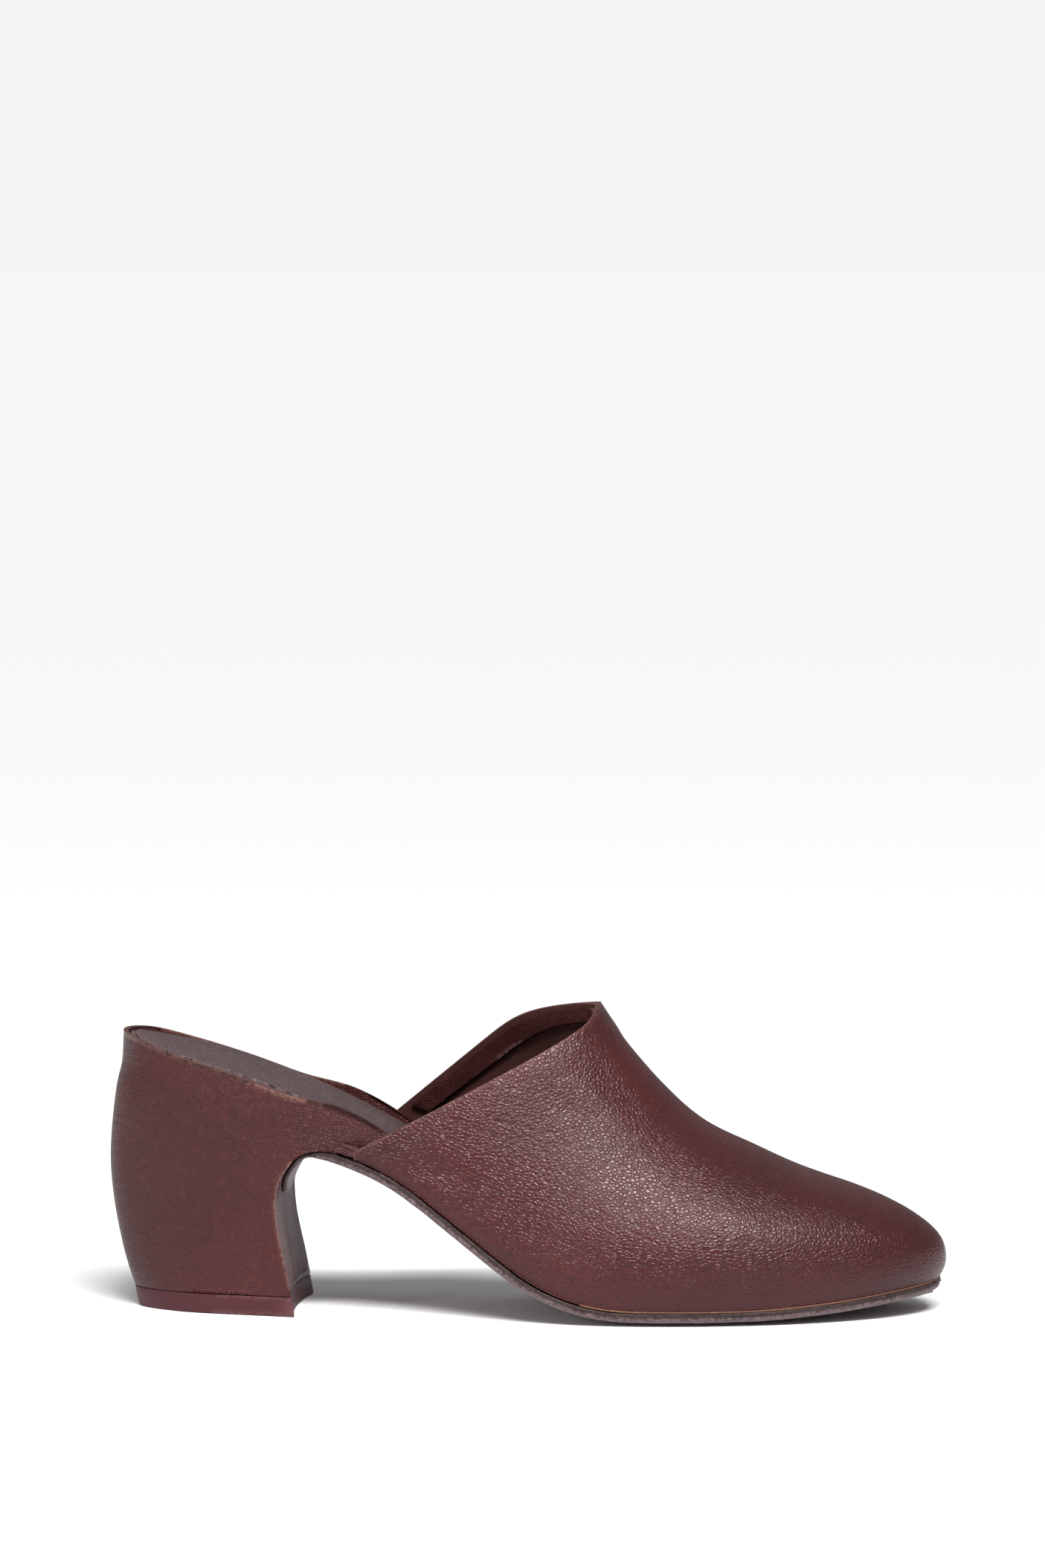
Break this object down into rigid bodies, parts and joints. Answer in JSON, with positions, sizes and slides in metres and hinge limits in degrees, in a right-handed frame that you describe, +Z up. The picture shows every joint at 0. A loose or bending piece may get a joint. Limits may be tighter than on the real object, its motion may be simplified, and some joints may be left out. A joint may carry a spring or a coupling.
{
  "type": "mule shoe",
  "caption": "Closed-toe, open-back leather mule for the right foot, with a leather-covered block heel, rubber heel tip, thin leather sole and a padded footbed.",
  "frame": {"origin": "middle of the heel tip's underside, on the floor", "axes": "+X from the heel to the toe, +Y to the inner side of the foot, +Z up"},
  "size_m": [0.2468, 0.0792, 0.0902],
  "materials": {
    "upper_leather": "satin, fine pebbled grain",
    "facing_leather": "satin",
    "footbed_leather": "matte",
    "heel_leather": "satin",
    "tip_rubber": "matte",
    "sole_leather": "waxed edge, satin"
  },
  "bodies": {
    "root": {"upper": "upper_leather", "collar_facing": "facing_leather", "footbed": "footbed_leather", "heel": "heel_leather", "heel_tip": "tip_rubber", "outsole": "sole_leather"}
  },
  "joints": []
}
